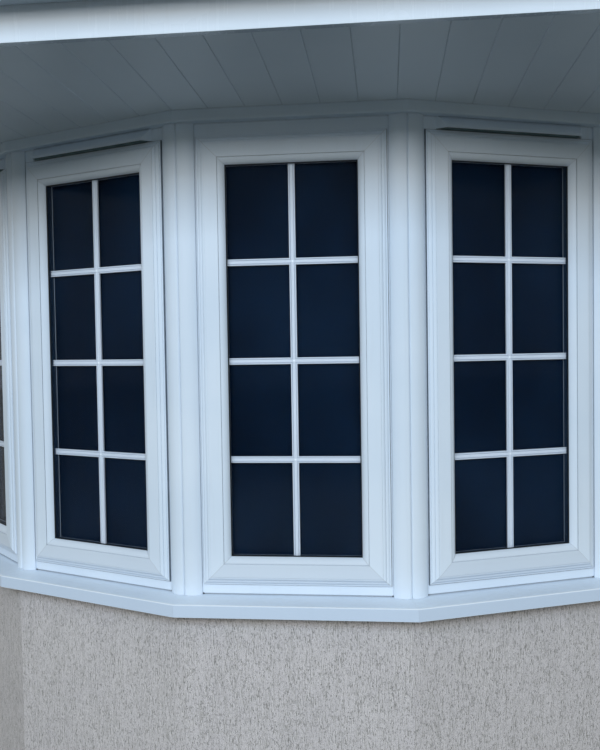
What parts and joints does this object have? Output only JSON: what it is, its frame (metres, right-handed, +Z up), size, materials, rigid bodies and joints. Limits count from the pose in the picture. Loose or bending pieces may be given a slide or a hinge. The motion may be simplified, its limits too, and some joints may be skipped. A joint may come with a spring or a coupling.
{
  "type": "bay window",
  "caption": "Faceted bay window on a rendered dwarf wall, with mitred cill, outward casement sashes, corner post covers and a canopy with soffit, fascia and gutter.",
  "frame": {"origin": "ground level, at the middle of the whole part's plan", "axes": "+Z up; the bay faces -Y and the house wall lies at the +Y end; +X is to the right as seen from outside"},
  "size_m": [2.9468, 1.393, 2.321],
  "materials": {
    "spacer": "satin",
    "render": "rough",
    "glass": "polished",
    "timber": "sawn",
    "deck": "sheet",
    "felt": "mineral",
    "plaster": "matt",
    "board": "satin",
    "soffit": "satin",
    "fascia": "satin",
    "gutter": "satin",
    "upvc": "satin"
  },
  "bodies": {
    "root": {"ceiling": "plaster", "cill_centre": "upvc", "cill_far_left": "upvc", "cill_far_right": "upvc", "cill_left": "upvc", "cill_right": "upvc", "corner_post_1": "upvc", "corner_post_2": "upvc", "corner_post_3": "upvc", "corner_post_4": "upvc", "end_posts": "upvc", "fascia_front": "fascia", "fascia_left": "fascia", "fascia_right": "fascia", "frame_centre": "upvc", "frame_far_left": "upvc", "frame_far_right": "upvc", "frame_left": "upvc", "frame_right": "upvc", "glazing_centre": "glass", "glazing_far_left": "glass", "glazing_far_right": "glass", "glazing_left": "glass", "glazing_right": "glass", "glazing_spacers": "spacer", "gutter": "gutter", "head_plate": "timber", "head_trim": "upvc", "post_covers": "upvc", "rear_plate": "timber", "roof_deck": "deck", "roof_felt": "felt", "roof_joists": "timber", "sash_centre": "upvc", "sash_far_left": "upvc", "sash_far_right": "upvc", "sash_left": "upvc", "sash_right": "upvc", "soffit": "soffit", "vent_hoods": "upvc", "wall_centre": "render", "wall_far_left": "render", "wall_far_right": "render", "wall_left": "render", "wall_right": "render", "window_board": "board"}
  },
  "joints": []
}
